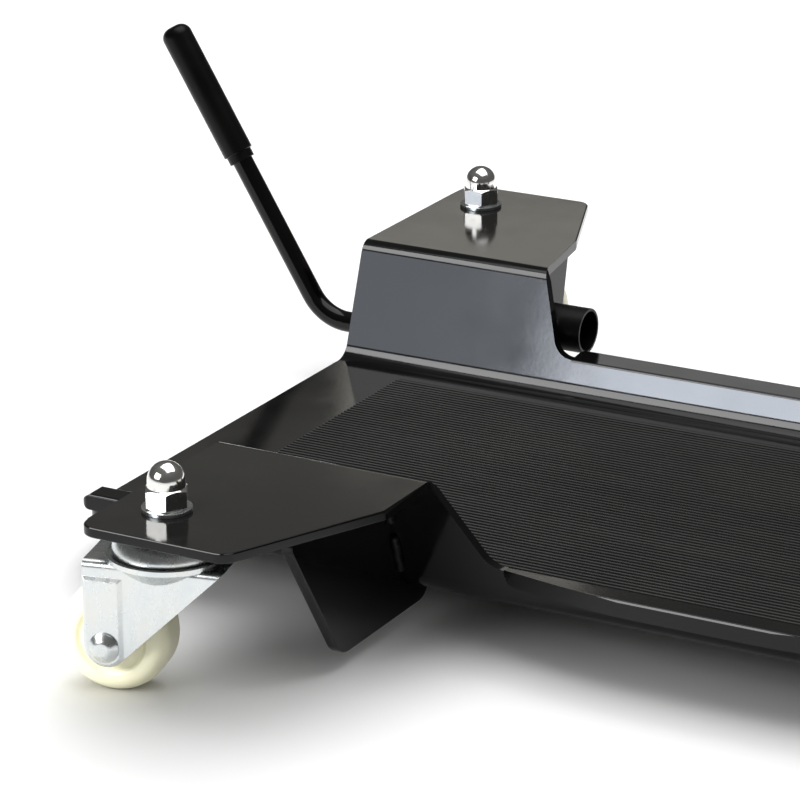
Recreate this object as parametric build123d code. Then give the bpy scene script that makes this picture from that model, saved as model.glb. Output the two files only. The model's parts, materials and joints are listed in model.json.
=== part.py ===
from build123d import *
import math
import os

os.makedirs("parts", exist_ok=True)

# Low motorcycle dolly: a bent sheet tray with four caster wings, millimetres, +Z up.
# Working frame: X runs along the tray from the end with the lever, Y across it,
# and Z = 0 is the top of the tray floor. The last lines move all pieces so that the
# origin lies under the middle of the bounding box, on the ground.

# Tray sheet
SHEET = 5.0            # sheet thickness of tray and wings
TRAY_LEN = 700.0       # length of the floor
JOIN = 0.01            # overlap of the floor with its side bends
FLOOR_HALF = 136.0     # half width of the floor, to the corner of the side bend
BEND_R = 11.0          # inside radius of the bend between floor and wall

# Low side rails
RAIL_H = 18.5          # rail top above the floor
RAIL_W = 16.0          # width of the flat rail top
RAIL_RISE = 1.4        # outer edge of the rail top above its inner edge
RAIL_LIP = 7.0         # height of the turned down lip
RAIL_EDGE_R = 1.8      # rounding of the pressed rail edges
RAIL_END = 14.5        # wall and rail start this far from the end of the floor
RAIL_CORNER = 5.5     # rounding of the rail top at its ends
LIP_CORNER = 6.2       # rounding of the lip at its ends
RAIL_EASE = 50.0       # length over which the near rail grows out of its wall

# Wings that carry the casters
WING_Z = 62.5          # wing top above the floor
WING_LEAN = 22.0       # how far the tall wall leans out over its height
WING_HALF = 287.0      # wing edge from the middle of the tray
WING_BEND_R = 3.0      # inside radius of the bend between wall and wing
WING_LEN = 115.0       # wing length along the bend
WING_TIP = 79.0        # wing length along its outer edge
NECK_X_FAR = 106.5     # where the slanted edge of the far wings ends
NECK_Y_FAR = 215.0
NECK_X_NEAR = 116.0    # where the slanted edge of the near wings ends
NECK_Y_NEAR = 203.5
NECK_R = 5.0           # rounding of that corner
WING_CORNER = 9.0      # rounding of the outer corners
SLANT_FAR = 15.5       # free edge of the far walls spreads by this on its way down
SLANT_NEAR = 26.0      # same for the near walls
WALL_SWEEP = 12.5      # radius where the free edge runs into the rail
STAGGER = 99.0         # the wings of the near side stand this far further in

# Ribbed mat on the floor
MAT_END = 48.0         # bare floor between mat and tray end
MAT_HALF = 113.0       # half width of the mat
MAT_T = 2.4            # full thickness
MAT_RIB = 0.8          # height of the ribs
MAT_PITCH = 3.4        # rib spacing
MAT_FLANK = 0.15       # share of the pitch taken by each sloping flank

# Transverse gussets under the wings
GUSSET_T = 6.0
GUSSET_X = 90.0        # outer face from the wing's square end
GUSSET_IN_NEAR = 37.0  # top edge of a near gusset ends this far inside the wing's edge
GUSSET_IN_FAR = 46.0
SLOPE_NEAR = 0.655     # outer edge of a near gusset moves in by this per millimetre down
SLOPE_FAR = 0.22
GUSSET_DROP = 17.0     # lower edge under the floor's top
GUSSET_HOOK = 21.0     # reach under the floor
GUSSET_R = 14.0        # rounding of the lower outer corner
HOOK_R = 9.0           # rounding of the lower inner corner
GUSSET_TOP_R = 5.0     # rounding of the outer top corner

# Socket tube beside the wall
TUBE_R = 12.7
TUBE_WALL = 1.6
TUBE_Z = 28.6          # axis above the floor
TUBE_X0 = 24.0         # inner end
TUBE_X1 = 139.0        # open end

# Folding lever
LEVER_R = 6.0          # radius of the round bar
LEVER_Y = 182.0        # axis of the lower leg
LEVER_Z = 3.5
LEVER_CORNER_X = 39.5  # leg and arm would meet this far outside the tray end
LEVER_RISE = 58.4      # arm angle above the leg
LEVER_BEND_R = 28.0    # centre line radius of the bend
LEVER_ARM = 190.0      # from the corner to the top of the grip
LEVER_FIT = 0.05       # radial clearance in its holes
GRIP_R = 8.8
GRIP_LEN = 87.0
GRIP_WALL_END = 4.0    # closed end over the bar
GRIP_COLLAR = 5.0      # short shoulder at the lower end
GRIP_COLLAR_R = 7.6
LUG_T = 5.0
LUG_X = 8.0            # bearing lug from the tray end
LUG_R = 12.0           # rounding of the lug about the leg
COLLAR_R = 10.0        # collar that keeps the leg in the gusset
COLLAR_LEN = 7.0
COLLAR_GAP = 0.4
LEG_TAIL = 3.0         # leg shows past the collar

# Swivel casters
STEM_X = 26.5          # stem from the wing's square end
STEM_IN = 36.0         # stem from the wing's outer edge
STEM_R = 6.0
STEM_FIT = 0.1         # clearance in the wing and nut holes
WASHER_R = 12.0
WASHER_T = 2.0
NUT_AF = 19.0          # across flats
NUT_HEX = 10.0         # hexagon height
NUT_CHAMFER = 1.4      # bevel of the hexagon's corners
NUT_DOME_R = 9.0
NUT_H = 22.0           # full height
NUT_BORE = 16.0        # depth of the blind thread
WHEEL_R = 27.0
WHEEL_W = 28.0         # tread width
WHEEL_EDGE = 8.5       # rounding of the tread edges
TRAIL = 24.6           # axle behind the swivel axis
AXLE_Z = 0.0           # axle relative to the floor's top
AXLE_R = 4.0
AXLE_FIT = 0.06
AXLE_HEAD_R = 7.4
AXLE_HEAD_H = 3.8
AXLE_HEAD_RIM = 0.9    # straight rim of the domed head
AXLE_NUT_AF = 13.0
AXLE_NUT_H = 5.0
AXLE_TAIL = 2.0        # bolt shows past its nut
BUSH_R = 6.5
HUB_R = 11.0
HUB_LEN = 36.0         # hub stands proud of the tread on both sides
HUB_GAP = 0.5          # hub to fork leg
RECESS_R = 15.5        # dished side of the wheel
RECESS_D = 1.4
RECESS_FLARE = 2.0     # slope at the rim of the dish
FORK_T = 2.5
FORK_BEND = 4.0        # outer radius between top plate and legs
LEG_END_R = 10.5       # rounding of the fork leg about the axle
LEG_SLANT = 44.1       # rear edge of the leg above the ground
PANEL_IN = 15.5        # raised panel on each leg starts this far from the swivel axis
PANEL_TOP = 34.5
PANEL_D = 1.6
PANEL_TAPER = 50.0
CROWN_R = 29.7         # round swivel seat on the fork
CROWN_TOP = 42.0       # top of the fork above the floor's top
CROWN_RIM = 1.2        # depth of the seat's edge
CROWN_DROP = 7.5       # cone under the seat runs into the legs this far down
LIP_W = 2.0            # raised lip round the seat
LIP_H = 1.4
RACE_R = 26.3          # fixed upper cup
RACE_TOP_R = 15.0      # flat of the cup against the wing
RACE_T = 2.2
RACE_EDGE = 2.0        # straight edge of the cup
RACE_BULGE = 1.7       # rise of the dome over a straight flank
RACE_GAP = 0.9         # cup to seat
BALL_R = 2.5
BALL_RING = 17.0       # ball circle radius
BALL_COUNT = 8
BALL_GAP = 0.3         # running gap to the fixed cup
RIVET_R = 10.5         # kingpin head under the seat
RIVET_H = 3.5
SWIVEL_GAP = 0.3       # kingpin head to fork

# Angle of each caster about its stem: 0 trails towards +X.
TURN_NEAR_A = 193.0
TURN_FAR_A = 20.0
TURN_NEAR_B = 172.0
TURN_FAR_B = 205.0

lean = WING_LEAN / WING_Z
slant = math.hypot(1.0, lean)
wall_top_y = FLOOR_HALF + WING_LEAN
rail_in_y = FLOOR_HALF + RAIL_H * lean
rail_out_y = rail_in_y + RAIL_W
stem_y = WING_HALF - STEM_IN
under_z = WING_Z - SHEET

pieces = {}


def wall_outer(z):
    """Y of the tall wall's outer face at height z."""
    return FLOOR_HALF + lean * z + SHEET * slant


def yz_prism(face_xy, x0, x1):
    """A sketch drawn as (Y, Z) turned upright and pulled from x0 to x1."""
    plane = Plane(origin=(x0, 0, 0), x_dir=(0, 1, 0), z_dir=(1, 0, 0))
    return extrude(plane * face_xy, amount=x1 - x0)


def xz_prism(face_xz, y0, y1):
    """A sketch drawn as (X, Z) turned upright and pulled from y0 to y1."""
    plane = Plane(origin=(0, y0, 0), x_dir=(1, 0, 0), z_dir=(0, -1, 0))
    return extrude(plane * face_xz, amount=-(y1 - y0))


def polygon(points):
    return make_face(Polyline(*points, close=True))


def rounded(points, radii):
    """Closed outline with its own radius at each corner, 0 for a sharp one."""
    corners = []
    for i, point in enumerate(points):
        here = Vector(*point)
        back = (Vector(*points[i - 1]) - here).normalized()
        ahead = (Vector(*points[(i + 1) % len(points)]) - here).normalized()
        half = math.radians(back.get_angle(ahead)) / 2
        reach = radii[i] / math.tan(half)
        inward = (back + ahead).normalized()
        middle = here + inward * (radii[i] / math.sin(half) - radii[i])
        corners.append((here + back * reach, middle, here + ahead * reach, radii[i]))
    edges = []
    for i, (start, middle, end, radius) in enumerate(corners):
        if radius > 0:
            edges.append(ThreePointArc(start, middle, end))
        following = corners[(i + 1) % len(corners)][0]
        if (following - end).length > 1e-6:
            edges.append(Line(end, following))
    return make_face(edges)


def strip(points, radius):
    """Bent sheet section around its middle line."""
    return trace(FilletPolyline(*points, radius=radius), SHEET)


# One side of the tray, drawn for +Y
h = SHEET / 2
mid_floor = (FLOOR_HALF - 4 * BEND_R, -h)
# middle lines of floor and wall cross at mid_bend
mid_bend = (FLOOR_HALF + h * slant - lean * h, -h)
mid_top = (mid_bend[0] + lean * WING_Z, WING_Z - h)
wall_low = (mid_bend[0] + lean * (WING_Z / 2 - h), WING_Z / 2 - SHEET)
wall_high = (mid_bend[0] + lean * (WING_Z / 2 + h), WING_Z / 2)
foot = strip([mid_floor, mid_bend, wall_high], BEND_R + h)
head = strip([wall_low, mid_top, (WING_HALF, WING_Z - h)], WING_BEND_R + h)
wing_section = foot + head
# low wall under the rail: floor bend and wall up to the underside of the rail top
rail_under = RAIL_H - SHEET
wall_section = foot - Pos(FLOOR_HALF, rail_under + WING_Z) * Rectangle(FLOOR_HALF, 2 * WING_Z)
rail_low = RAIL_H - RAIL_LIP
rail_foot = rail_low - h / 2
rail_rise = RAIL_RISE / RAIL_W
rail_block = rounded(
    [
        (FLOOR_HALF + lean * rail_foot, rail_foot),
        (rail_in_y, RAIL_H),
        (rail_out_y, RAIL_H + RAIL_RISE),
        (rail_out_y, rail_low),
        (wall_outer(rail_low), rail_low),
        (wall_outer(rail_foot), rail_foot),
    ],
    [0, RAIL_EDGE_R, RAIL_EDGE_R, 0, 0, 0],
)
# open space under the rail top, between wall and lip
hollow_in = wall_outer(rail_under)
hollow_out = rail_out_y + SHEET
rail_hollow = rounded(
    [
        (wall_outer(rail_foot - SHEET), rail_foot - SHEET),
        (hollow_in, rail_under + rail_rise * (hollow_in - rail_in_y)),
        (hollow_out, rail_under + rail_rise * (hollow_out - rail_in_y)),
        (hollow_out, rail_foot - SHEET),
    ],
    [0, RAIL_EDGE_R / 2, 0, 0],
)
inside_y = FLOOR_HALF - 5 * BEND_R
outside_y = WING_HALF + SHEET


def wall_end(spread):
    """Where the free edge of a wall has run into the rail, from the wing's square end."""
    turn = math.atan2(spread, WING_Z - RAIL_H)
    return WING_LEN + spread + WALL_SWEEP * math.tan(math.pi / 4 - turn / 2)


def wing_solid(spread, neck_x, neck_y):
    """Wall and wing with its square end at X = 0."""
    end = wall_end(spread)
    body = yz_prism(wing_section, 0, end)
    # free edge of the wall as seen from the side
    side = rounded(
        [
            (0, -SHEET),
            (0, WING_Z),
            (WING_LEN, WING_Z),
            (WING_LEN + spread, RAIL_H),
            (end + SHEET, RAIL_H),
            (end + SHEET, -SHEET),
        ],
        [0, 0, 0, WALL_SWEEP, 0, 0],
    )
    body = body & xz_prism(side, inside_y, outside_y)
    bend_y = wall_top_y + WING_BEND_R
    plan = rounded(
        [
            (0, inside_y),
            (0, WING_HALF),
            (WING_TIP, WING_HALF),
            (neck_x, neck_y),
            (WING_LEN, bend_y),
            (end + SHEET, bend_y),
            (end + SHEET, inside_y),
        ],
        [0, WING_CORNER, WING_CORNER, NECK_R, 0, 0, 0],
    )
    body = body & extrude(Pos(0, 0, -2 * SHEET) * plan, amount=WING_Z + 4 * SHEET)
    hole = Cylinder(STEM_R + STEM_FIT, 4 * SHEET)
    return body - Pos(STEM_X, stem_y, WING_Z) * hole


def rail_solid(x0, x1, ease):
    """Rail top and lip between x0 and x1, with rounded ends or growing out of the wall."""
    if ease > 0:
        root_y = wall_outer(RAIL_H)
        run = min(ease, (x1 - x0) / 4)
        turn = math.atan2(rail_out_y - root_y, run)
        sweep = run / 2 / math.tan(turn / 2)
        plan = rounded(
            [
                (x0, inside_y),
                (x0, root_y),
                (x0 + run, rail_out_y),
                (x1 - run, rail_out_y),
                (x1, root_y),
                (x1, inside_y),
            ],
            [0, 0, sweep, sweep, 0, 0],
        )
    else:
        plan = rounded(
            [(x0, inside_y), (x0, rail_out_y), (x1, rail_out_y), (x1, inside_y)],
            [0, RAIL_CORNER, RAIL_CORNER, 0],
        )
    depth = RAIL_H + 4 * SHEET
    block = yz_prism(rail_block, x0, x1) & extrude(Pos(0, 0, -2 * SHEET) * plan, amount=depth)
    under = extrude(Pos(0, 0, -2 * SHEET) * offset(plan, amount=-SHEET), amount=depth)
    body = block - (yz_prism(rail_hollow, x0, x1) & under)
    lip_side = rounded(
        [(x0, rail_low), (x0, depth), (x1, depth), (x1, rail_low)],
        [LIP_CORNER, 0, 0, LIP_CORNER],
    )
    # only the lip is rounded from below, the wall keeps its straight end
    part_y = wall_outer(rail_under)
    whole = Pos((x0 + x1) / 2, 0) * Rectangle(x1 - x0, 4 * depth)
    return body & (xz_prism(lip_side, part_y, outside_y) + xz_prism(whole, inside_y, part_y))


def tray_side(set_back, spread, neck_x, neck_y, ease):
    """Everything beside the floor on one side, for +Y."""
    body = yz_prism(wall_section, 0, TRAY_LEN)
    wing = Pos(set_back, 0, 0) * wing_solid(spread, neck_x, neck_y)
    body = body + wing + Pos(TRAY_LEN, 0, 0) * mirror(wing, about=Plane.YZ)
    start = set_back + wall_end(spread)
    body = body + rail_solid(start, TRAY_LEN - start, ease)
    if set_back > RAIL_END + 6 * RAIL_CORNER:
        end_rail = rail_solid(RAIL_END, set_back - SHEET, 0)
        body = body + end_rail + Pos(TRAY_LEN, 0, 0) * mirror(end_rail, about=Plane.YZ)
        # the floor's corner is rounded off where the side is set back from its end
        bite = Pos(0, FLOOR_HALF + WING_HALF / 2 - RAIL_END) * Rectangle(2 * RAIL_END, WING_HALF)
        bite = bite - Pos(RAIL_END, FLOOR_HALF - RAIL_END) * Circle(RAIL_END)
        bite = extrude(Pos(0, 0, -2 * SHEET) * bite, amount=WING_Z)
        body = body - bite - Pos(TRAY_LEN, 0, 0) * mirror(bite, about=Plane.YZ)
    return body


floor_w = 2 * (mid_floor[0] + JOIN)
floor = Pos(TRAY_LEN / 2, 0, -h) * Box(TRAY_LEN, floor_w, SHEET)
far_side = tray_side(0.0, SLANT_FAR, NECK_X_FAR, NECK_Y_FAR, 0)
near_side = tray_side(STAGGER, SLANT_NEAR, NECK_X_NEAR, NECK_Y_NEAR, RAIL_EASE)
near_side = mirror(near_side, about=Plane.XZ)
tray = floor + far_side + near_side
pieces["tray"] = tray

# Mat: a comb section pulled along the tray
ribs = 2 * int(MAT_HALF / MAT_PITCH) - 1
first = -ribs * MAT_PITCH / 2
comb = [(-MAT_HALF, 0), (-MAT_HALF, MAT_T - MAT_RIB)]
for i in range(ribs):
    y = first + i * MAT_PITCH
    comb += [
        (y + MAT_FLANK * MAT_PITCH, MAT_T - MAT_RIB),
        (y + 2 * MAT_FLANK * MAT_PITCH, MAT_T),
        (y + (1 - 2 * MAT_FLANK) * MAT_PITCH, MAT_T),
        (y + (1 - MAT_FLANK) * MAT_PITCH, MAT_T - MAT_RIB),
    ]
comb += [(MAT_HALF, MAT_T - MAT_RIB), (MAT_HALF, 0)]
pieces["mat"] = yz_prism(polygon(comb), MAT_END, TRAY_LEN - MAT_END)

# Gussets: they follow the wall's outer face and hook under the floor
low_z = -GUSSET_DROP
hook_y = FLOOR_HALF - GUSSET_HOOK
cope = 2 * WING_BEND_R


def gusset_solid(top_y, slope):
    """Gusset of a wing with its square end at X = 0, for +Y; it reaches into the sheet."""
    face = rounded(
        [
            (wall_outer(under_z - cope) - h, under_z - cope),
            (wall_outer(under_z) + cope, under_z),
            (top_y, under_z),
            (top_y - slope * (under_z - low_z), low_z),
            (hook_y, low_z),
            (hook_y, -SHEET),
            (FLOOR_HALF - BEND_R, -SHEET),
            (FLOOR_HALF, 0),
        ],
        [0, 0, GUSSET_TOP_R, GUSSET_R, HOOK_R, 0, 0, 0],
    )
    return yz_prism(face, GUSSET_X - GUSSET_T, GUSSET_X)


far_gusset = gusset_solid(WING_HALF - GUSSET_IN_FAR, SLOPE_FAR)
near_gusset = Pos(STAGGER, 0, 0) * gusset_solid(WING_HALF - GUSSET_IN_NEAR, SLOPE_NEAR)
tube_y = wall_outer(TUBE_Z) + TUBE_R / slant * (1 + lean * lean)
tube_axis = Pos(GUSSET_X - GUSSET_T / 2, tube_y, TUBE_Z) * Rot(0, 90, 0)
leg_axis = Pos(GUSSET_X - GUSSET_T / 2, LEVER_Y, LEVER_Z) * Rot(0, 90, 0)
far_a = far_gusset - tube_axis * Cylinder(TUBE_R, 4 * GUSSET_T)
# open notch where tube and wall touch
touch = Pos(GUSSET_X, tube_y - TUBE_R / slant, TUBE_Z + TUBE_R * lean / slant) * Rot(0, 90, 0)
far_a = far_a - touch * Cylinder(SHEET, 4 * GUSSET_T)
far_a = far_a - leg_axis * Cylinder(LEVER_R + LEVER_FIT, 4 * GUSSET_T)
pieces["gusset_far_a"] = far_a - tray
pieces["gusset_far_b"] = Pos(TRAY_LEN, 0, 0) * mirror(far_gusset, about=Plane.YZ) - tray
near_a = mirror(near_gusset, about=Plane.XZ)
pieces["gusset_near_a"] = near_a - tray
pieces["gusset_near_b"] = Pos(TRAY_LEN, 0, 0) * mirror(near_a, about=Plane.YZ) - tray

# Socket tube
ring = Circle(TUBE_R) - Circle(TUBE_R - TUBE_WALL)
tube_plane = Plane(origin=(TUBE_X0, tube_y, TUBE_Z), x_dir=(0, 1, 0), z_dir=(1, 0, 0))
pieces["socket_tube"] = extrude(tube_plane * ring, amount=TUBE_X1 - TUBE_X0)

# Lever: leg along X, one bend, straight arm with a grip
rise = math.radians(LEVER_RISE)
arm_dir = Vector(-math.cos(rise), 0, math.sin(rise))
corner = Vector(-LEVER_CORNER_X, LEVER_Y, LEVER_Z)
leg_end = GUSSET_X + COLLAR_GAP + COLLAR_LEN + LEG_TAIL
bar_top = corner + arm_dir * (LEVER_ARM - GRIP_WALL_END)
bar_line = FilletPolyline(Vector(leg_end, LEVER_Y, LEVER_Z), corner, bar_top, radius=LEVER_BEND_R)
bar_start = Plane(origin=(leg_end, LEVER_Y, LEVER_Z), z_dir=(-1, 0, 0))
pieces["lever_bar"] = sweep(bar_start * Circle(LEVER_R), path=bar_line)
grip_low = corner + arm_dir * (LEVER_ARM - GRIP_LEN)
grip_plane = Plane(origin=grip_low, z_dir=arm_dir)
grip_face = rounded(
    [
        (LEVER_R, 0),
        (GRIP_COLLAR_R, 0),
        (GRIP_COLLAR_R, GRIP_COLLAR),
        (GRIP_R, GRIP_COLLAR),
        (GRIP_R, GRIP_LEN),
        (0, GRIP_LEN),
        (0, GRIP_LEN - GRIP_WALL_END),
        (LEVER_R, GRIP_LEN - GRIP_WALL_END),
    ],
    [0, 0.3, 0.3, 0.6, GRIP_R * 0.7, 0, 0, 0],
)
grip = revolve(Plane.XZ * grip_face, axis=Axis.Z)
pieces["lever_grip"] = grip_plane.location * grip
collar_face = Circle(COLLAR_R) - Circle(LEVER_R)
collar_at = Plane(origin=(GUSSET_X + COLLAR_GAP, LEVER_Y, LEVER_Z), x_dir=(0, 1, 0), z_dir=(1, 0, 0))
pieces["lever_collar"] = extrude(collar_at * collar_face, amount=COLLAR_LEN)
lug_top = LEVER_Z + 2 * LUG_R
lug_face = polygon(
    [
        (FLOOR_HALF, LEVER_Z - LUG_R / 2),
        (LEVER_Y, LEVER_Z - LUG_R),
        (LEVER_Y + LUG_R * 0.8, LEVER_Z + LUG_R * 0.6),
        (wall_outer(lug_top), lug_top),
    ]
)
lug_face = lug_face + Pos(LEVER_Y, LEVER_Z) * Circle(LUG_R)
lug_face = lug_face - Pos(LEVER_Y, LEVER_Z) * Circle(LEVER_R + LEVER_FIT)
pieces["lever_lug"] = yz_prism(lug_face, LUG_X, LUG_X + LUG_T) - tray

# Caster pieces around the swivel axis at (0, 0), trailing towards +X
swivel_bore = STEM_R + STEM_FIT
seat = CROWN_TOP - FORK_T
rim_z = CROWN_TOP + RACE_GAP
ball_top = CROWN_TOP + 2 * BALL_R + BALL_GAP
dome_foot = (RACE_R, rim_z + RACE_EDGE)
dome_mid = (
    (RACE_TOP_R + RACE_R) / 2 + RACE_BULGE,
    (under_z + rim_z + RACE_EDGE) / 2 + RACE_BULGE,
)
race_line = [
    Line((STEM_R, under_z), (RACE_TOP_R, under_z)),
    ThreePointArc((RACE_TOP_R, under_z), dome_mid, dome_foot),
    Polyline(
        dome_foot,
        (RACE_R, rim_z),
        (RACE_R - RACE_T, rim_z),
        (RACE_R - RACE_T, ball_top),
        (STEM_R, ball_top),
        (STEM_R, under_z),
    ),
]
race = revolve(Plane.XZ * make_face(race_line), axis=Axis.Z)
head_top = seat - SWIVEL_GAP
stem_top = WING_Z + WASHER_T + NUT_BORE
stem_face = polygon(
    [
        (0, head_top - RIVET_H),
        (RIVET_R - RIVET_H, head_top - RIVET_H),
        (RIVET_R, head_top - RIVET_H / 2),
        (RIVET_R, head_top),
        (STEM_R, head_top),
        (STEM_R, stem_top - STEM_R / 6),
        (STEM_R - STEM_R / 6, stem_top),
        (0, stem_top),
    ]
)
stem = revolve(Plane.XZ * stem_face, axis=Axis.Z)
balls = []
for i in range(BALL_COUNT):
    a = 2 * math.pi * i / BALL_COUNT
    balls.append(Pos(BALL_RING * math.cos(a), BALL_RING * math.sin(a), CROWN_TOP + BALL_R) * Sphere(BALL_R))

# Fork: bent top plate and legs, round seat with a lip, raised panel round the axle
leg_in = HUB_LEN / 2 + HUB_GAP
leg_out = leg_in + FORK_T
leg_mid = leg_in + FORK_T / 2
panel_out = leg_out + PANEL_D
front = TRAIL + LEG_END_R
tilt = math.radians(LEG_SLANT)
# rear edge touches the rounding about the axle at tangent
tangent = (TRAIL - LEG_END_R * math.sin(tilt), AXLE_Z - LEG_END_R * math.cos(tilt))
toe_z = tangent[1] - (front - tangent[0]) * math.tan(tilt)
above = CROWN_TOP + FORK_T
rear = tangent[0] - (above - tangent[1]) / math.tan(tilt)
leg_face = rounded([(front, above), (front, toe_z), (rear, above)], [0, LEG_END_R, 0])
bent = FilletPolyline(
    (-leg_mid, toe_z),
    (-leg_mid, CROWN_TOP - FORK_T / 2),
    (leg_mid, CROWN_TOP - FORK_T / 2),
    (leg_mid, toe_z),
    radius=FORK_BEND - FORK_T / 2,
)
shell = yz_prism(trace(bent, FORK_T), rear, front) & xz_prism(leg_face, -2 * leg_out, 2 * leg_out)
cone_z = CROWN_TOP - CROWN_RIM - CROWN_DROP
lip_in = CROWN_R - LIP_W
seat_face = polygon(
    [
        (0, seat),
        (0, CROWN_TOP),
        (lip_in, CROWN_TOP),
        (lip_in, CROWN_TOP + LIP_H),
        (CROWN_R, CROWN_TOP + LIP_H),
        (CROWN_R, CROWN_TOP - CROWN_RIM),
        (CROWN_R - FORK_T, seat),
    ]
)
seat_disc = revolve(Plane.XZ * seat_face, axis=Axis.Z)
cone_face = polygon([(0, cone_z), (0, seat), (CROWN_R - FORK_T, seat), (leg_out, cone_z)])
cone = revolve(Plane.XZ * cone_face, axis=Axis.Z)
cone = cone - Pos(0, 0, CROWN_TOP) * Box(4 * CROWN_R, 2 * leg_out - FORK_T, 4 * CROWN_R)
panel_face = rounded(
    [
        (front, PANEL_TOP),
        (front, toe_z),
        (tangent[0] - (PANEL_TOP - tangent[1]) / math.tan(tilt), PANEL_TOP),
    ],
    [0, LEG_END_R, 0],
)
panel_face = panel_face - Pos(PANEL_IN - CROWN_R, 0) * Rectangle(2 * CROWN_R, 8 * CROWN_R)
panel_plane = Plane(origin=(0, leg_out, 0), x_dir=(1, 0, 0), z_dir=(0, -1, 0))
panel = extrude(panel_plane * panel_face, amount=-PANEL_D, taper=PANEL_TAPER)
fork = shell + seat_disc + cone + panel + mirror(panel, about=Plane.XZ)
axle_line = Pos(TRAIL, 0, AXLE_Z) * Rot(-90, 0, 0)
fork = fork - axle_line * Cylinder(AXLE_R, 4 * leg_out)
fork = fork - Pos(0, 0, CROWN_TOP) * Cylinder(swivel_bore, 4 * FORK_T)

# Wheel with a dished face each side, plain bush and bolt
hub_half = HUB_LEN / 2
tread_half = WHEEL_W / 2
dish = tread_half - RECESS_D
half_wheel = [
    (BUSH_R, hub_half),
    (HUB_R, hub_half),
    (HUB_R, dish),
    (RECESS_R, dish),
    (RECESS_R + RECESS_FLARE, tread_half),
    (WHEEL_R, tread_half),
]
half_radii = [0, RECESS_FLARE / 2, RECESS_FLARE / 2, RECESS_FLARE / 2, RECESS_FLARE / 3, WHEEL_EDGE]
wheel_face = rounded(
    half_wheel + [(r, -z) for r, z in reversed(half_wheel)],
    half_radii + half_radii[::-1],
)
wheel = axle_line * revolve(Plane.XZ * wheel_face, axis=Axis.Z)
bush_face = Circle(BUSH_R) - Circle(AXLE_R + AXLE_FIT)
bush = axle_line * (Pos(0, 0, -hub_half) * extrude(bush_face, amount=HUB_LEN))
bolt_low = -panel_out - AXLE_NUT_H - AXLE_TAIL
bolt_face = rounded(
    [
        (0, bolt_low),
        (AXLE_R, bolt_low),
        (AXLE_R, panel_out),
        (AXLE_HEAD_R, panel_out),
        (AXLE_HEAD_R, panel_out + AXLE_HEAD_RIM),
        (AXLE_HEAD_R / 2, panel_out + AXLE_HEAD_H),
        (0, panel_out + AXLE_HEAD_H),
    ],
    [0, AXLE_R / 8, 0, AXLE_HEAD_RIM / 3, AXLE_HEAD_RIM, AXLE_HEAD_R / 2, 0],
)
axle = axle_line * revolve(Plane.XZ * bolt_face, axis=Axis.Z)
nut_face = RegularPolygon(AXLE_NUT_AF / 2, 6, major_radius=False) - Circle(AXLE_R)
axle_nut = axle_line * (Pos(0, 0, -panel_out - AXLE_NUT_H) * extrude(nut_face, amount=AXLE_NUT_H))

# Washer and domed cap nut on top of each wing
washer = extrude(Circle(WASHER_R) - Circle(swivel_bore), amount=WASHER_T)
washer = Pos(0, 0, WING_Z) * washer
nut_z = WING_Z + WASHER_T
hexagon = Pos(0, 0, nut_z) * extrude(RegularPolygon(NUT_AF / 2, 6, major_radius=False), amount=NUT_HEX)
chamfer_cone = Pos(0, 0, nut_z) * revolve(
    Plane.XZ
    * polygon(
        [
            (0, 0),
            (NUT_AF / 2, 0),
            (NUT_AF / 2 + NUT_CHAMFER, NUT_CHAMFER * 0.7),
            (NUT_AF / 2 + NUT_CHAMFER, NUT_HEX - NUT_CHAMFER),
            (NUT_AF / 2 - NUT_CHAMFER / 2, NUT_HEX),
            (0, NUT_HEX),
        ]
    ),
    axis=Axis.Z,
)
dome_line = [
    Line((0, 0), (NUT_DOME_R, 0)),
    Line((NUT_DOME_R, 0), (NUT_DOME_R, NUT_H - NUT_DOME_R)),
    CenterArc((0, NUT_H - NUT_DOME_R), NUT_DOME_R, 0, 90),
    Line((0, NUT_H), (0, 0)),
]
dome = Pos(0, 0, nut_z) * revolve(Plane.XZ * make_face(dome_line), axis=Axis.Z)
cap_nut = (hexagon & chamfer_cone) + dome
cap_nut = cap_nut - Pos(0, 0, nut_z + NUT_BORE / 2) * Cylinder(swivel_bore, NUT_BORE)

stations = {
    "near_a": (STAGGER + STEM_X, -stem_y, TURN_NEAR_A),
    "far_a": (STEM_X, stem_y, TURN_FAR_A),
    "near_b": (TRAY_LEN - STAGGER - STEM_X, -stem_y, TURN_NEAR_B),
    "far_b": (TRAY_LEN - STEM_X, stem_y, TURN_FAR_B),
}
nuts = []
washers = []
for name, (x, y, turn) in stations.items():
    fixed = Pos(x, y, 0)
    turned = Pos(x, y, 0) * Rot(0, 0, turn)
    pieces["caster_" + name + "_race"] = fixed * race
    pieces["caster_" + name + "_stem"] = fixed * stem
    pieces["caster_" + name + "_balls"] = Compound(children=[turned * b for b in balls])
    pieces["caster_" + name + "_fork"] = turned * fork
    pieces["caster_" + name + "_axle"] = turned * axle
    pieces["caster_" + name + "_axle_nut"] = turned * axle_nut
    pieces["caster_" + name + "_wheel"] = turned * wheel
    pieces["caster_" + name + "_bush"] = turned * bush
    nuts.append(fixed * cap_nut)
    washers.append(fixed * washer)
pieces["cap_nuts"] = Compound(children=nuts)
pieces["washers"] = Compound(children=washers)

# Move the origin to the ground under the middle of the bounding box
boxes = [p.bounding_box() for p in pieces.values()]
mid_x = (min(b.min.X for b in boxes) + max(b.max.X for b in boxes)) / 2
mid_y = (min(b.min.Y for b in boxes) + max(b.max.Y for b in boxes)) / 2
base_z = min(b.min.Z for b in boxes)
shift = Pos(-mid_x, -mid_y, -base_z)
print("shift", -mid_x, -mid_y, -base_z)

for name, piece in pieces.items():
    export_step(shift * piece, "parts/" + name + ".step")
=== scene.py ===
import json
import math

import bpy
from mathutils import Matrix, Vector

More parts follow.
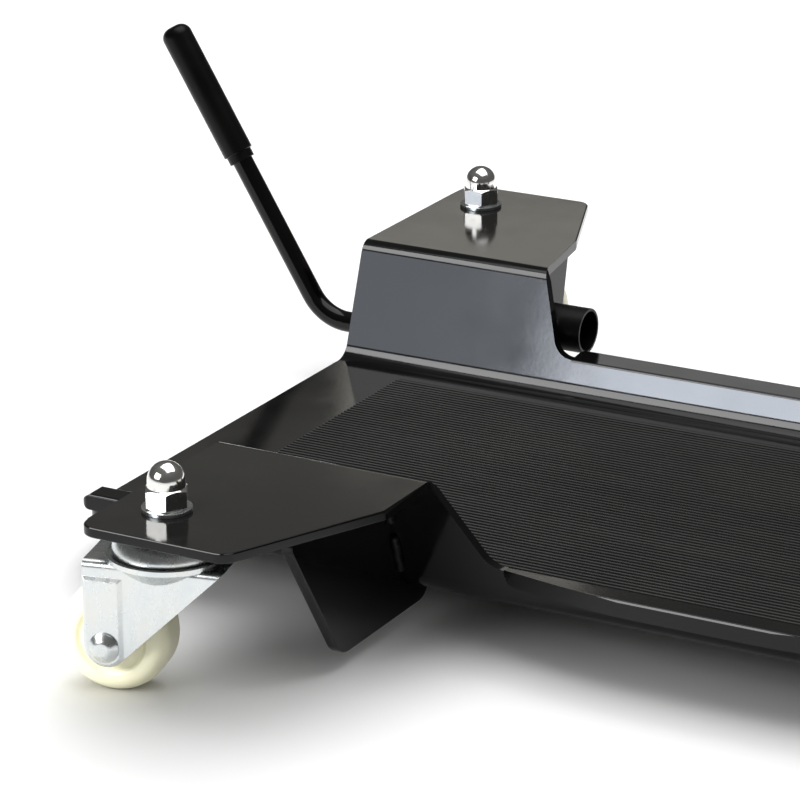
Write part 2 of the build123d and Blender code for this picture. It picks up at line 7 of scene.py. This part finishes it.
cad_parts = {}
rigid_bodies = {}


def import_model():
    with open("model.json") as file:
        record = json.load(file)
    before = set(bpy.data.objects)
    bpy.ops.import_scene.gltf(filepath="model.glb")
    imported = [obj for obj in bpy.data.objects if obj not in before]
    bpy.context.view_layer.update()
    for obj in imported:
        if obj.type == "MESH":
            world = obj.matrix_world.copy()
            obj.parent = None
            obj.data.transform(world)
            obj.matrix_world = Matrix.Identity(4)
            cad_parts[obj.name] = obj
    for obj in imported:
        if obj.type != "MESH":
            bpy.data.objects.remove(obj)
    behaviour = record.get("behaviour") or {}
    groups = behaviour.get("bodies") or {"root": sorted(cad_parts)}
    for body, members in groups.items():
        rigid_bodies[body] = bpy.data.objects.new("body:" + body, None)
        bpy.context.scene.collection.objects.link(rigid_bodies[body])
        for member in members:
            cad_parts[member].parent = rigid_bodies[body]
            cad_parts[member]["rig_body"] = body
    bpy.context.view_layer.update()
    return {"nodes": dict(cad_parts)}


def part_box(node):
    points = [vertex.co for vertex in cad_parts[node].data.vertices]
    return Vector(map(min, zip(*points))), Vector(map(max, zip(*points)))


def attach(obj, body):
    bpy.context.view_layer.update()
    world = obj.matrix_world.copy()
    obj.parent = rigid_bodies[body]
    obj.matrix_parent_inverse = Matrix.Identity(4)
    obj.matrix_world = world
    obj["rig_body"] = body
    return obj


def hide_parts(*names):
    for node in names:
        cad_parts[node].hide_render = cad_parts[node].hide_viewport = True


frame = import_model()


# Tray: one thick steel sheet, cut out, bent up into rails, walls and wings,
# edges broken with a file and the whole of it sprayed gloss black.
MM = 0.001
CORNERS = ("near_a", "far_a", "near_b", "far_b")
SHEET_EDGE = 0.9 * MM
SHARP_FROM = 35
BEND_FACET = math.radians(28)
SAME_POINT = 0.002 * MM
SAME_PLANE = math.radians(0.5)
FLAT_FACE_WEIGHT = 80


def pick(piece):
    """Makes a piece the only selected one."""
    bpy.ops.object.select_all(action="DESELECT")
    piece.select_set(True)
    bpy.context.view_layer.objects.active = piece


def dressed(node, edge, finish, segments=2, sharp=SHARP_FROM, filed=None):
    """Copy of a solid with its edges eased, which stands in for the plain one.

    filed works on the copy first and marks the edges to ease.
    Without it all edges sharper than the angle are eased."""
    source = frame["nodes"][node]
    mesh = source.data.copy()
    piece = bpy.data.objects.new(node + "_made", mesh)
    bpy.context.scene.collection.objects.link(piece)
    pick(piece)
    bpy.ops.mesh.customdata_custom_splitnormals_clear()
    bpy.ops.object.mode_set(mode="EDIT")
    bpy.ops.mesh.select_all(action="SELECT")
    bpy.ops.mesh.remove_doubles(threshold=SAME_POINT)
    bpy.ops.mesh.dissolve_limited(angle_limit=SAME_PLANE)
    bpy.ops.object.mode_set(mode="OBJECT")
    if filed:
        filed(piece, math.radians(sharp))
    bevel = piece.modifiers.new("eased edges", "BEVEL")
    bevel.width = edge
    bevel.segments = segments
    bevel.limit_method = "WEIGHT" if filed else "ANGLE"
    bevel.angle_limit = math.radians(sharp)
    bevel.use_clamp_overlap = not filed
    bevel.miter_outer = "MITER_ARC"
    bpy.ops.object.modifier_apply(modifier=bevel.name)
    bpy.ops.object.shade_smooth_by_angle(angle=BEND_FACET)
    flat = piece.modifiers.new("flat faces stay flat", "WEIGHTED_NORMAL")
    flat.keep_sharp = True
    flat.weight = FLAT_FACE_WEIGHT
    bpy.ops.object.modifier_apply(modifier=flat.name)
    mesh.materials.clear()
    mesh.materials.append(finish)
    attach(piece, source["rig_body"])
    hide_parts(node)
    piece.select_set(False)
    return piece


def shade(row, stops):
    """Sets the stops of a colour ramp, from low to high."""
    while len(row) < len(stops):
        row.new(0.5)
    for element, (at, colour) in zip(row, stops):
        element.position = at
        element.color = (*colour, 1.0)


class Finish:
    """A node material with short words for the nodes that every finish here needs."""

    def __init__(self, name):
        self.material = bpy.data.materials.new(name)
        self.material.use_nodes = True
        self.nodes = self.material.node_tree.nodes
        self.links = self.material.node_tree.links
        self.shader = self.nodes["Principled BSDF"]
        self.place = self.nodes.new("ShaderNodeTexCoord").outputs["Object"]

    def set(self, **sockets):
        """Constants of the shader, with _ for the blanks in a socket's name."""
        for name, value in sockets.items():
            self.shader.inputs[name.replace("_", " ")].default_value = value

    def feed(self, name, value):
        """Links a value to a socket of the shader."""
        self.links.new(value, self.shader.inputs[name])

    def noise(self, scale, detail=2.0, rough=0.5, stretch=(1, 1, 1)):
        """Cloudy value over the piece; an axis below 1 in stretch draws it out that way."""
        node = self.nodes.new("ShaderNodeTexNoise")
        node.inputs["Scale"].default_value = scale
        node.inputs["Detail"].default_value = detail
        node.inputs["Roughness"].default_value = rough
        here = self.place
        if stretch != (1, 1, 1):
            mapping = self.nodes.new("ShaderNodeMapping")
            mapping.inputs["Scale"].default_value = stretch
            self.links.new(here, mapping.inputs["Vector"])
            here = mapping.outputs["Vector"]
        self.links.new(here, node.inputs["Vector"])
        return node.outputs["Fac"]

    def band(self, value, low, high, out_low=0.0, out_high=1.0):
        """The range low to high of a value, spread from out_low to out_high."""
        node = self.nodes.new("ShaderNodeMapRange")
        node.inputs["From Min"].default_value = low
        node.inputs["From Max"].default_value = high
        node.inputs["To Min"].default_value = out_low
        node.inputs["To Max"].default_value = out_high
        self.links.new(value, node.inputs["Value"])
        return node.outputs["Result"]

    def above(self, low, high):
        """0 below height low, 1 above height high."""
        split = self.nodes.new("ShaderNodeSeparateXYZ")
        self.links.new(self.place, split.inputs["Vector"])
        return self.band(split.outputs["Z"], low, high)

    def sum(self, first, second, share):
        """First value plus a share of the second."""
        node = self.nodes.new("ShaderNodeMath")
        node.operation = "MULTIPLY_ADD"
        self.links.new(second, node.inputs[0])
        node.inputs[1].default_value = share
        self.links.new(first, node.inputs[2])
        return node.outputs["Value"]

    def ramp(self, value, stops):
        """Colour by value."""
        node = self.nodes.new("ShaderNodeValToRGB")
        shade(node.color_ramp.elements, stops)
        self.links.new(value, node.inputs["Fac"])
        return node.outputs["Color"]

    def mix(self, factor, first, second):
        """Two colours, or outputs that give one, blended by factor."""
        node = self.nodes.new("ShaderNodeMix")
        node.data_type = "RGBA"
        self.links.new(factor, node.inputs["Factor"])
        for socket, colour in ((node.inputs["A"], first), (node.inputs["B"], second)):
            if isinstance(colour, tuple):
                socket.default_value = (*colour, 1.0)
            else:
                self.links.new(colour, socket)
        return node.outputs["Result"]

    def bump(self, height, depth, strength=1.0):
        """Relief of a given depth."""
        node = self.nodes.new("ShaderNodeBump")
        node.inputs["Strength"].default_value = strength
        node.inputs["Distance"].default_value = depth
        self.links.new(height, node.inputs["Height"])
        self.feed("Normal", node.outputs["Normal"])


# Sprayed paint: even gloss with faint orange peel and a film of dust,
# over edges that were filed round.
PAINT_BLACK = (0.0020, 0.0020, 0.0021)
PAINT_DUSTY = (0.0042, 0.0041, 0.0039)
paint = Finish("gloss_black_paint")
dust = paint.band(paint.noise(9.0, detail=5.0, rough=0.6), 0.45, 0.8)
clouds = paint.noise(38.0, detail=4.0, rough=0.55)
paint.feed("Base Color", paint.mix(dust, PAINT_BLACK, PAINT_DUSTY))
paint.feed("Roughness", paint.band(clouds, 0.3, 0.75, 0.085, 0.15))
peel = paint.sum(paint.noise(420.0, rough=0.4), paint.noise(120.0, detail=1.0), 0.6)
paint.bump(peel, depth=0.05 * MM, strength=0.22)
paint.set(IOR=1.36)

# The near rail's ends are rounded from above by a roll of radius NOSE_R, which
# ends NOSE_BACK from the tray's end and NOSE_TOP above its underside.
NOSE_BACK = 14.5 * MM
NOSE_TOP = 24.8 * MM
NOSE_R = 8.5 * MM
NOSE_BITE = 0.05 * MM
NOSE_MIDDLE = -147.0 * MM
NOSE_WIDE = 40.0 * MM
ROLL_SIDES = 72
WING_SHEET = 5.2 * MM
WING_FROM = 170.0 * MM
HOLE_CLEAR = 9.0 * MM


def cut_off(piece, tool):
    """Takes the tool's volume out of the piece and the tool out of the scene."""
    bpy.context.view_layer.objects.active = piece
    cut = piece.modifiers.new("cut", "BOOLEAN")
    cut.operation = "DIFFERENCE"
    cut.solver = "EXACT"
    cut.object = tool
    bpy.ops.object.modifier_apply(modifier=cut.name)
    bpy.data.objects.remove(tool)


def filed_tray(piece, sharp):
    """Rounds the two ends of the near rail from above and marks the outlines of the wings."""
    low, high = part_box("tray")
    roll_z = low.z + NOSE_TOP - NOSE_R
    for end, inward in ((low.x + NOSE_BACK, 1), (high.x - NOSE_BACK, -1)):
        middle = (end, NOSE_MIDDLE, roll_z + NOSE_R)
        bpy.ops.mesh.primitive_cube_add(size=2 * NOSE_R, location=middle)
        block = bpy.context.object
        block.scale.y = NOSE_WIDE / (2 * NOSE_R)
        bpy.ops.object.transform_apply(location=True, rotation=True, scale=True)
        bpy.ops.mesh.primitive_cylinder_add(
            vertices=ROLL_SIDES, radius=NOSE_R, depth=2 * NOSE_WIDE, rotation=(math.pi / 2, 0, 0),
            location=(end + inward * (NOSE_R - NOSE_BITE), NOSE_MIDDLE, roll_z))
        cut_off(block, bpy.context.object)
        cut_off(piece, block)
    pick(piece)
    bpy.ops.object.mode_set(mode="EDIT")
    bpy.ops.mesh.select_mode(type="EDGE")
    bpy.ops.mesh.select_all(action="DESELECT")
    bpy.ops.mesh.edges_select_sharp(sharpness=sharp)
    bpy.ops.object.mode_set(mode="OBJECT")
    holes = []
    for corner in CORNERS:
        stem_low, stem_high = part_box("caster_" + corner + "_stem")
        holes.append(((stem_low + stem_high) / 2).xy)
    mesh = piece.data
    marks = mesh.attributes.new("bevel_weight_edge", "FLOAT", "EDGE").data
    for line in mesh.edges:
        ends = [mesh.vertices[i].co for i in line.vertices]
        on_wing = all(p.z > high.z - WING_SHEET and abs(p.y) > WING_FROM for p in ends)
        at_hole = any((p.xy - hole).length < HOLE_CLEAR for p in ends for hole in holes)
        marks[line.index].value = 1.0 if line.select and on_wing and not at_hole else 0.0


tray = dressed(
    "tray", SHEET_EDGE, paint.material, segments=3, filed=filed_tray)


# Mat: extruded ribbed rubber laid on the floor of the tray, matt black,
# the crests of its ribs coloured a little lighter than the grooves.
RIB_HEIGHT = 0.8 * MM
CREST_SHARE = 0.2
GROOVE_BLACK = (0.0120, 0.0119, 0.0115)
CREST_BLACK = (0.0150, 0.0149, 0.0143)
CREST_PALER = (0.0290, 0.0284, 0.0268)


def painted(node, finish):
    """Gives a finish to a solid that is shown as it is."""
    piece = frame["nodes"][node]
    piece.data.materials.clear()
    piece.data.materials.append(finish)
    return piece


rubber = Finish("ribbed_mat_rubber")
mat_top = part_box("mat")[1].z
crest = rubber.above(mat_top - RIB_HEIGHT, mat_top - CREST_SHARE * RIB_HEIGHT)
streaks = rubber.noise(260.0, detail=3.0, rough=0.6, stretch=(0.03, 1, 1))
patches = rubber.noise(14.0, detail=6.0, rough=0.62)
grime = rubber.band(rubber.sum(patches, streaks, 1.0), 0.82, 1.22)
crests = rubber.mix(grime, CREST_BLACK, CREST_PALER)
rubber.feed("Base Color", rubber.mix(crest, GROOVE_BLACK, crests))
scuff = rubber.band(rubber.noise(60.0, detail=3.0), 0.3, 0.7, 0.50, 0.60)
dull_grooves = rubber.band(crest, 0.0, 1.0, 0.25, 0.0)
rubber.feed("Roughness", rubber.sum(scuff, dull_grooves, 1.0))
rubber.bump(rubber.noise(1600.0), depth=0.03 * MM, strength=0.15)
rubber.set(IOR=1.36)
mat = painted("mat", rubber.material)


# Gussets: four plates cut from the same sheet, one under each wing,
# welded to the wall and hooked under the floor.
GUSSET_EDGE = 0.8 * MM
gussets = []
for corner in CORNERS:
    gussets.append(dressed("gusset_" + corner, GUSSET_EDGE, paint.material))


# Socket tube: short length of round tube beside the far wall, welded
# through the gusset, ends faced square and painted with the tray.
TUBE_EDGE = 0.3 * MM
FLAT_BLACK = (0.0030, 0.0030, 0.0032)
FLAT_DUSTY = (0.0065, 0.0063, 0.0060)
flat_black = Finish("flat_black_paint")
overspray = flat_black.band(flat_black.noise(26.0, detail=5.0, rough=0.6), 0.4, 0.8)
dry_spray = flat_black.noise(180.0, detail=3.0)
flat_black.feed("Base Color", flat_black.mix(overspray, FLAT_BLACK, FLAT_DUSTY))
flat_black.feed("Roughness", flat_black.band(dry_spray, 0.3, 0.7, 0.34, 0.48))
flat_black.bump(flat_black.noise(1300.0), depth=0.04 * MM, strength=0.3)
flat_black.set(IOR=1.28)
dressed("socket_tube", TUBE_EDGE, flat_black.material)


# Lever: round bar bent once, turning in the gusset and a small lug,
# kept by a collar; painted black, with a dipped sleeve for the hand.
BAR_EDGE = 0.6 * MM
GRIP_EDGE = 0.3 * MM
SLEEVE_BLACK = (0.003, 0.003, 0.0031)
SLEEVE_RUBBED = (0.006, 0.0059, 0.0057)
for name in ("lever_bar", "lever_collar", "lever_lug"):
    dressed(name, BAR_EDGE, paint.material)

sleeve = Finish("dipped_grip_sleeve")
rub = sleeve.band(sleeve.noise(22.0, detail=4.0, rough=0.6), 0.4, 0.75)
sheen = sleeve.noise(70.0, detail=3.0)
sleeve.feed("Base Color", sleeve.mix(rub, SLEEVE_BLACK, SLEEVE_RUBBED))
sleeve.feed("Roughness", sleeve.band(sheen, 0.3, 0.72, 0.26, 0.38))
skin = sleeve.sum(sleeve.noise(900.0), sleeve.noise(160.0), 0.7)
sleeve.bump(skin, depth=0.05 * MM, strength=0.3)
sleeve.set(IOR=1.27)
dressed("lever_grip", GRIP_EDGE, sleeve.material)


# Welds: short fillet beads laid in overlapping drops; they hold the gussets,
# the tube and the lug of the lever, and are painted over with the rest.
FLOOR_SHEET = 5.0 * MM
WALL_FOOT = 141.3 * MM
WALL_LEAN = 0.352
WING_UNDER = 57.5 * MM
DROP = 2.2 * MM
DROP_STEP = 1.7 * MM
DROP_OUT = 0.7 * MM
DROP_MELT = 0.55 * MM
RIPPLE_LENGTH = 3.0 * MM
RIPPLE_DEPTH = 0.8 * MM
STITCHES = ((8 * MM, 25 * MM), (36 * MM, 50 * MM))
STITCHES_AT_TUBE = ((6 * MM, 12 * MM), (44 * MM, 51 * MM))
LUG_STITCH = (8 * MM, 22 * MM)
WING_STITCH = 22 * MM
WING_STITCH_IN = 13 * MM
floor_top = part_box("tray")[0].z + FLOOR_SHEET
ripple = bpy.data.textures.new("weld_ripple", "CLOUDS")
ripple.noise_scale = RIPPLE_LENGTH


def first_drop(place):
    """Ball of weld metal, with its place in its mesh."""
    bpy.ops.mesh.primitive_ico_sphere_add(subdivisions=2, radius=DROP, location=place)
    bpy.ops.object.transform_apply(location=True, rotation=False, scale=False)
    return bpy.context.object


def settle(piece, name):
    """Runs the drops of a bead together and fixes it to the frame."""
    piece.name = name
    melt = piece.modifiers.new("melted together", "REMESH")
    melt.mode = "VOXEL"
    melt.voxel_size = DROP_MELT
    even = piece.modifiers.new("smooth", "SMOOTH")
    even.factor = 0.5
    even.iterations = 2
    rough = piece.modifiers.new("uneven", "DISPLACE")
    rough.texture = ripple
    rough.strength = RIPPLE_DEPTH
    for step in list(piece.modifiers):
        bpy.ops.object.modifier_apply(modifier=step.name)
    bpy.ops.object.shade_smooth()
    piece.data.materials.append(flat_black.material)
    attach(piece, frame["nodes"]["tray"]["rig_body"])
    piece.select_set(False)


def bead(name, start, end):
    """Straight bead from start to end."""
    run = Vector(end) - Vector(start)
    count = max(3, round(run.length / DROP_STEP))
    piece = first_drop(start)
    row = piece.modifiers.new("drops", "ARRAY")
    row.use_relative_offset = False
    row.use_constant_offset = True
    row.constant_offset_displace = run / (count - 1)
    row.count = count
    settle(piece, name)


def ring_bead(name, middle, radius):
    """Bead round a tube that lies along X."""
    piece = first_drop(Vector(middle) + Vector((0, radius, 0)))
    bpy.ops.object.mode_set(mode="EDIT")
    bpy.ops.mesh.select_all(action="SELECT")
    steps = round(2 * math.pi * radius / DROP_STEP)
    bpy.ops.mesh.spin(steps=steps, dupli=True, angle=2 * math.pi, center=middle, axis=(1, 0, 0))
    bpy.ops.object.mode_set(mode="OBJECT")
    settle(piece, name)


def wall_point(x, side, height):
    """Point on the outer face of a wall, height above the floor."""
    return (x, side * (WALL_FOOT + WALL_LEAN * height + DROP_OUT), floor_top + height)


wing_root = WALL_FOOT + WALL_LEAN * WING_UNDER
wing_z = floor_top + WING_UNDER - DROP_OUT
for corner in CORNERS:
    low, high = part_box("gusset_" + corner)
    side = 1 if corner.startswith("far") else -1
    tip = max(abs(low.y), abs(high.y))
    for face, x in (("in", low.x - DROP_OUT), ("out", high.x + DROP_OUT)):
        name = "weld_" + corner + "_" + face
        for i, (z0, z1) in enumerate(STITCHES_AT_TUBE if corner == "far_a" else STITCHES):
            bead(name + "_wall_" + str(i), wall_point(x, side, z0), wall_point(x, side, z1))
        for i, y in enumerate((wing_root + WING_STITCH_IN, tip - WING_STITCH_IN - WING_STITCH)):
            start = (x, side * y, wing_z)
            end = (x, side * (y + WING_STITCH), wing_z)
            bead(name + "_wing_" + str(i), start, end)

low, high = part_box("socket_tube")
tube_y = (low.y + high.y) / 2
tube_z = (low.z + high.z) / 2
tube_r = (high.z - low.z) / 2
plate_low, plate_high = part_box("gusset_far_a")
ring_bead("weld_tube_in", (plate_low.x - DROP_OUT, tube_y, tube_z), tube_r + DROP_OUT)
ring_bead("weld_tube_out", (plate_high.x + DROP_OUT, tube_y, tube_z), tube_r + DROP_OUT)

low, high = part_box("lever_lug")
for face, x in (("in", low.x - DROP_OUT), ("out", high.x + DROP_OUT)):
    bead("weld_lug_" + face, wall_point(x, 1, LUG_STITCH[0]), wall_point(x, 1, LUG_STITCH[1]))


# Cap nuts and washers: nickel plated nuts with a domed crown, each on a
# plain zinc washer, holding the caster stems in the wings.
NUT_EDGE = 0.25 * MM
HEX_SHARP = 20
NICKEL_TONES = (
    (0.3, (0.80, 0.80, 0.79)),
    (0.7, (0.88, 0.87, 0.84)),
)
ZINC_TONES = (
    (0.30, (0.66, 0.70, 0.72)),
    (0.50, (0.73, 0.76, 0.76)),
    (0.72, (0.78, 0.785, 0.75)),
)
nickel = Finish("plated_cap_nut")
smear = nickel.noise(140.0, detail=4.0, rough=0.6)
polish = nickel.noise(260.0, detail=3.0)
nickel.feed("Base Color", nickel.ramp(smear, NICKEL_TONES))
nickel.feed("Roughness", nickel.band(polish, 0.3, 0.7, 0.07, 0.17))
nickel.bump(nickel.noise(900.0), depth=0.02 * MM, strength=0.2)
nickel.set(Metallic=1.0)
bright = [dressed("cap_nuts", NUT_EDGE, nickel.material, sharp=HEX_SHARP)]

zinc = Finish("bright_zinc")
bloom = zinc.noise(55.0, detail=5.0, rough=0.62)
draw_marks = zinc.noise(300.0, detail=3.0, stretch=(1, 1, 0.12))
zinc.feed("Base Color", zinc.ramp(bloom, ZINC_TONES))
zinc.feed("Roughness", zinc.band(zinc.sum(bloom, draw_marks, 0.6), 0.5, 1.1, 0.20, 0.34))
zinc.bump(zinc.sum(draw_marks, zinc.noise(700.0), 0.8), depth=0.02 * MM, strength=0.15)
zinc.set(Metallic=1.0)
bright.append(dressed("washers", NUT_EDGE, zinc.material))


# Casters: pressed cup and fork in bright zinc, ring of steel balls, riveted
# stem, bolt and nut for an axle, and a cream nylon wheel on a plain bush.
FORK_EDGE = 0.45 * MM
CUP_EDGE = 0.5 * MM
BOLT_EDGE = 0.25 * MM
WHEEL_EDGE = 0.25 * MM
STEEL_TONES = (
    (0.3, (0.55, 0.55, 0.56)),
    (0.7, (0.66, 0.65, 0.64)),
)
CREAM = (0.95, 0.925, 0.70)
CREAM_AGED = (0.92, 0.885, 0.62)
GLOW_SHARE = 0.25
GLOW_BY_COLOUR = (1.0, 0.8, 0.5)
GLOW_DEPTH = 4.0 * MM

steel = Finish("ground_ball_steel")
steel.feed("Base Color", steel.ramp(steel.noise(400.0), STEEL_TONES))
steel.feed("Roughness", steel.band(steel.noise(800.0), 0.3, 0.7, 0.10, 0.22))
steel.set(Metallic=1.0)

nylon = Finish("cream_nylon")
tint = nylon.band(nylon.noise(30.0, detail=5.0, rough=0.6), 0.35, 0.75)
moulded = nylon.noise(120.0, detail=3.0)
pores = nylon.sum(nylon.noise(900.0), nylon.noise(120.0, detail=1.0), 0.5)
nylon.feed("Base Color", nylon.mix(tint, CREAM, CREAM_AGED))
nylon.feed("Roughness", nylon.band(moulded, 0.3, 0.7, 0.30, 0.44))
nylon.bump(pores, depth=0.04 * MM, strength=0.25)
nylon.set(Subsurface_Weight=GLOW_SHARE, Subsurface_Radius=GLOW_BY_COLOUR)
nylon.set(Subsurface_Scale=GLOW_DEPTH, IOR=1.53)

wheels = []
for corner in CORNERS:
    caster = "caster_" + corner
    dressed(caster + "_race", CUP_EDGE, zinc.material)
    bright.append(dressed(caster + "_stem", BOLT_EDGE, zinc.material))
    bright.append(dressed(caster + "_fork", FORK_EDGE, zinc.material))
    bright.append(dressed(caster + "_axle", BOLT_EDGE, zinc.material))
    bright.append(dressed(caster + "_axle_nut", BOLT_EDGE, zinc.material))
    wheels.append(dressed(caster + "_wheel", WHEEL_EDGE, nylon.material))
    painted(caster + "_balls", steel.material)
    painted(caster + "_bush", steel.material)


# Studio: pale sweep under the dolly, a large soft light overhead, and softboxes
# and cards in front and behind, each flagged off all but the pieces it lights.
FLOOR_SIZE = 30.0
FLOOR_CELLS = 8
SWEEP_GREY = (0.86, 0.86, 0.86)
SWEEP_WHITE = (0.88, 0.88, 0.88)
bpy.ops.mesh.primitive_grid_add(
    x_subdivisions=FLOOR_CELLS, y_subdivisions=FLOOR_CELLS, size=FLOOR_SIZE)
floor = bpy.context.object
floor.name = "studio_floor"
sweep = Finish("studio_sweep")
sweep.feed("Base Color", sweep.mix(sweep.noise(3.0, detail=3.0), SWEEP_GREY, SWEEP_WHITE))
sweep.set(Roughness=0.55, Specular_IOR_Level=0.2)
floor.data.materials.append(sweep.material)


def flag(lamp, pieces):
    """Keeps a lamp off everything but these pieces."""
    group = bpy.data.collections.new(lamp.name + "_falls_on")
    for piece in pieces:
        group.objects.link(piece)
    lamp.light_linking.receiver_collection = group


def softbox(name, place, target, wide, high, watts, colour, falls_on=()):
    """Area light aimed at target, which falls on the named pieces only, or on all."""
    light = bpy.data.lights.new(name, "AREA")
    light.shape = "RECTANGLE"
    light.size = wide
    light.size_y = high
    light.energy = watts
    light.color = colour
    lamp = bpy.data.objects.new(name, light)
    bpy.context.scene.collection.objects.link(lamp)
    lamp.location = place
    aim = Vector(target) - Vector(place)
    lamp.rotation_euler = aim.to_track_quat("-Z", "Y").to_euler()
    lamp.visible_camera = False
    if falls_on:
        flag(lamp, falls_on)


WHITE = (1.0, 1.0, 1.0)
WARM = (1.0, 0.965, 0.87)
COOL = (0.84, 0.90, 1.0)
FRONT = (-1.0, -1.7, 1.0)
NEAR_SIDE = (-0.1, -0.2, 0.05)
hardware = bright + wheels
sheets = [tray] + gussets
softbox("overhead", (0.1, 0.25, 2.3), (0.0, 0.0, 0.0), 2.6, 2.2, 42.0, WHITE)
softbox("backdrop", (-0.9, 2.2, 2.4), (-0.9, 2.2, 0.0), 3.6, 2.6, 60.0, WHITE, [floor])
softbox("front_soft", FRONT, NEAR_SIDE, 1.2, 0.9, 20.0, WHITE, hardware)
softbox("floor_soft", FRONT, NEAR_SIDE, 1.2, 0.9, 10.0, WHITE, [floor])
softbox("front_box", (-0.62, -1.30, 0.46), (0.05, 0.14, 0.04), 0.42, 0.34, 12.5, COOL, [tray])
softbox("front_fill", (-1.02, -1.18, 0.46), (-0.22, 0.15, 0.05), 0.34, 0.40, 2.1, COOL, [tray])
softbox("front_strip", (-0.66, -0.72, 1.08), (0.0, 0.14, 0.05), 0.95, 0.80, 27.0, WHITE, sheets)
softbox("mat_soft", (-0.9, 0.9, 1.5), (-0.05, 0.05, 0.03), 0.8, 0.8, 12.0, WHITE, [mat])
softbox("wheel_soft", (-1.0, -1.7, 0.8), (-0.17, -0.25, 0.03), 0.9, 0.7, 26.0, WHITE, wheels)
softbox("back_card", (-0.95, 1.60, 0.64), (-0.22, 0.25, 0.08), 0.30, 0.27, 0.22, WARM, [tray])
softbox("rail_card", (-0.55, 1.60, 0.92), (0.1, 0.15, 0.04), 0.80, 0.26, 0.70, WHITE, [tray])
softbox("wing_card", (-1.25, 1.70, 0.90), (-0.1, -0.20, 0.08), 0.50, 0.34, 0.11, WARM, [tray])

WASH_STRENGTH = 1.15
WASH_SPREAD = math.radians(150)
wash = bpy.data.lights.new("floor_wash", "SUN")
wash.energy = WASH_STRENGTH
wash.angle = WASH_SPREAD
wash_lamp = bpy.data.objects.new("floor_wash", wash)
bpy.context.scene.collection.objects.link(wash_lamp)
flag(wash_lamp, [floor])

AIR_TONES = (
    (0.0, (0.11, 0.11, 0.112)),
    (0.30, (0.095, 0.093, 0.088)),
    (0.9, (0.16, 0.16, 0.16)),
)
world = bpy.data.worlds.new("studio_air")
bpy.context.scene.world = world
world.use_nodes = True
air = world.node_tree
direction = air.nodes.new("ShaderNodeTexCoord")
parts = air.nodes.new("ShaderNodeSeparateXYZ")
tones = air.nodes.new("ShaderNodeValToRGB")
shade(tones.color_ramp.elements, AIR_TONES)
air.links.new(direction.outputs["Generated"], parts.inputs["Vector"])
air.links.new(parts.outputs["Z"], tones.inputs["Fac"])
air.links.new(tones.outputs["Color"], air.nodes["Background"].inputs["Color"])
air.nodes["Background"].inputs["Strength"].default_value = 1.0
bpy.context.scene.view_settings.view_transform = "Standard"


# Camera: long lens above the lever end, as the photograph was taken,
# placed from the low corner of the tray.
VIEW_TURN = math.radians(28.794)
VIEW_DROP = math.radians(19.575)
VIEW_ROLL = math.radians(-0.2035)
VIEW_FROM_TRAY = Vector((0.99552, -1.32372, 0.69352))
FOCAL_PIXELS = 3748.4
FRAME_PIXELS = 800.0
SENSOR = 36.0
NEAREST = 0.05
FARTHEST = 60.0
across = Vector((math.cos(VIEW_TURN), math.sin(VIEW_TURN), 0.0))
ahead = Vector((
    -math.sin(VIEW_TURN) * math.cos(VIEW_DROP),
    math.cos(VIEW_TURN) * math.cos(VIEW_DROP),
    -math.sin(VIEW_DROP),
))
upward = across.cross(ahead)
right = across * math.cos(VIEW_ROLL) + upward * math.sin(VIEW_ROLL)
top = upward * math.cos(VIEW_ROLL) - across * math.sin(VIEW_ROLL)
lens = bpy.data.cameras.new("camera")
lens.sensor_fit = "HORIZONTAL"
lens.sensor_width = SENSOR
lens.lens = SENSOR * FOCAL_PIXELS / FRAME_PIXELS
lens.clip_start = NEAREST
lens.clip_end = FARTHEST
camera = bpy.data.objects.new("camera", lens)
bpy.context.scene.collection.objects.link(camera)
turn = Matrix((right, top, -ahead)).transposed().to_4x4()
camera.matrix_world = Matrix.Translation(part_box("tray")[0] + VIEW_FROM_TRAY) @ turn
bpy.context.scene.camera = camera
